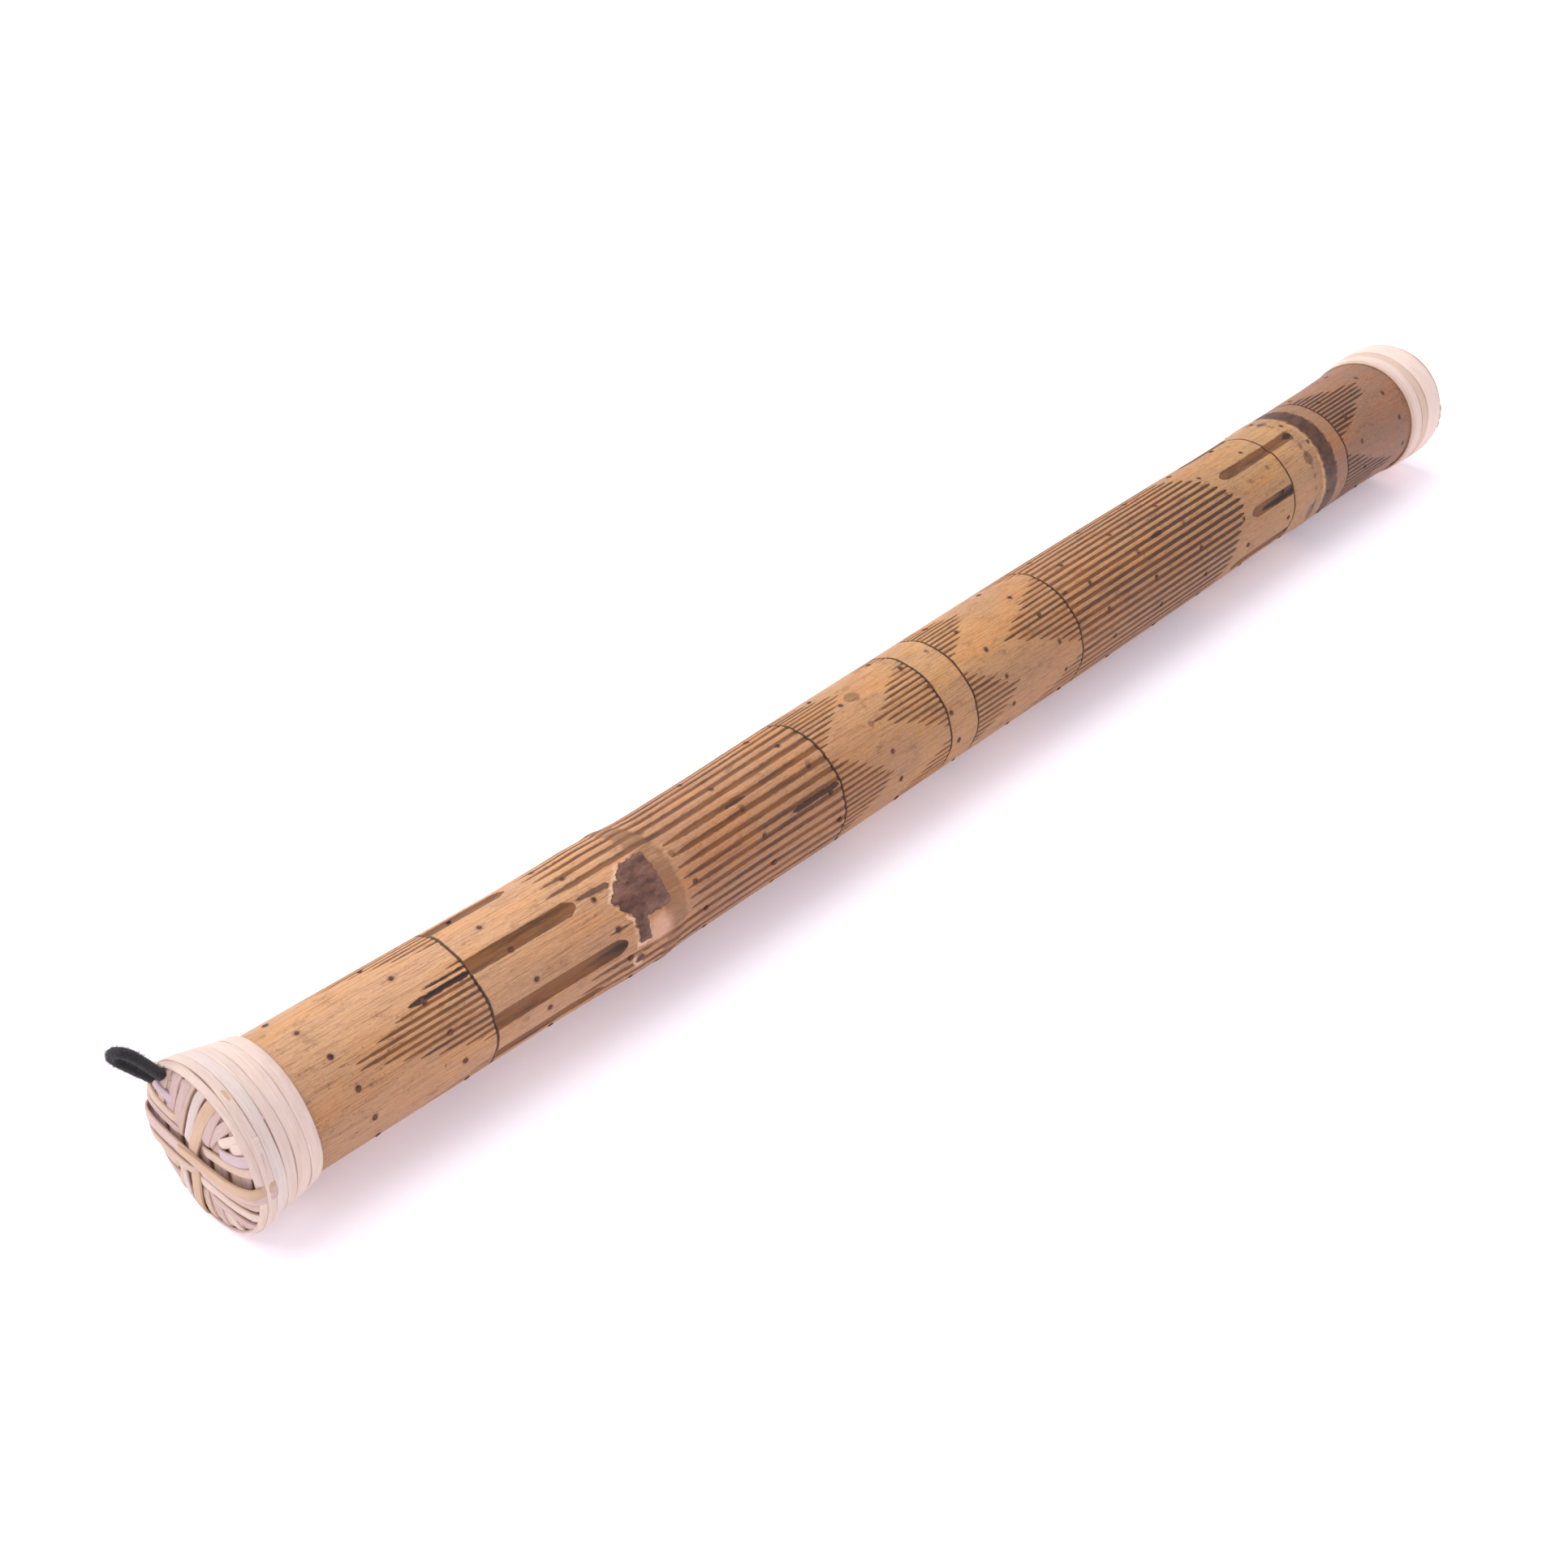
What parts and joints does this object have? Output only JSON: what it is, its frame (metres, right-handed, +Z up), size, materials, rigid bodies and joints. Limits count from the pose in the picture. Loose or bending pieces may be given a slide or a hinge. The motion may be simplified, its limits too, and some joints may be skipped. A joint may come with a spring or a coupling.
{
  "type": "rainstick",
  "caption": "Kinked bamboo tube with inner pins and loose grains, closed at both ends by woven cane caps, with a short cord loop at one end.",
  "frame": {"origin": "on the surface the stick lies on, under the middle of its length and width", "axes": "+X along the stick from the hanging-loop end to the far end, +Z up"},
  "size_m": [0.6093, 0.0552, 0.0541],
  "materials": {
    "bamboo": "satin, burnt decoration",
    "pin_wood": "matte",
    "disc_wood": "matte",
    "cane": "matte split cane",
    "grain": "matte",
    "loop_cord": "felted"
  },
  "bodies": {
    "stick": {"bamboo_tube": "bamboo", "loop_side_pins": "pin_wood", "middle_pins": "pin_wood", "far_side_pins": "pin_wood", "loop_end_disc": "disc_wood", "far_end_disc": "disc_wood", "loop_under_band": "cane", "loop_over_band": "cane", "loop_corner_strips": "cane", "loop_folded_ends": "cane", "loop_wrap_1": "cane", "loop_wrap_2": "cane", "loop_wrap_3": "cane", "loop_wrap_4": "cane", "loop_rim_hoop": "cane", "far_under_band": "cane", "far_over_band": "cane", "far_corner_strips": "cane", "far_folded_ends": "cane", "far_edge_hoop_1": "cane", "far_edge_hoop_2": "cane", "far_wrap_1": "cane", "far_wrap_2": "cane", "far_wrap_3": "cane", "far_rim_hoop": "cane", "hanging_loop": "loop_cord"},
    "loop_side_grains_low_body": {"loop_side_grains_low": "grain"},
    "loop_side_grains_back_body": {"loop_side_grains_back": "grain"},
    "middle_grains_low_body": {"middle_grains_low": "grain"},
    "middle_grains_back_body": {"middle_grains_back": "grain"},
    "middle_grains_front_body": {"middle_grains_front": "grain"},
    "far_side_grains_low_body": {"far_side_grains_low": "grain"},
    "far_side_grains_back_body": {"far_side_grains_back": "grain"}
  },
  "joints": [
    {"name": "loop_side_grains_low_slide", "type": "slide", "parent": "stick", "child": "loop_side_grains_low_body", "axis": [-0.9991, 0.0415, 0], "range_m": [-0.014, 0.0923]},
    {"name": "loop_side_grains_back_slide", "type": "slide", "parent": "stick", "child": "loop_side_grains_back_body", "axis": [-0.9991, 0.0415, 0], "range_m": [-0.02, 0.0863]},
    {"name": "middle_grains_low_slide", "type": "slide", "parent": "stick", "child": "middle_grains_low_body", "axis": [1, 0, 0], "range_m": [-0.054, 0.238]},
    {"name": "middle_grains_back_slide", "type": "slide", "parent": "stick", "child": "middle_grains_back_body", "axis": [1, 0, 0], "range_m": [-0.046, 0.246]},
    {"name": "middle_grains_front_slide", "type": "slide", "parent": "stick", "child": "middle_grains_front_body", "axis": [1, 0, 0], "range_m": [-0.064, 0.243]},
    {"name": "far_side_grains_low_slide", "type": "slide", "parent": "stick", "child": "far_side_grains_low_body", "axis": [1, 0, 0], "range_m": [-0.009, 0.0482]},
    {"name": "far_side_grains_back_slide", "type": "slide", "parent": "stick", "child": "far_side_grains_back_body", "axis": [1, 0, 0], "range_m": [-0.013, 0.0442]}
  ]
}
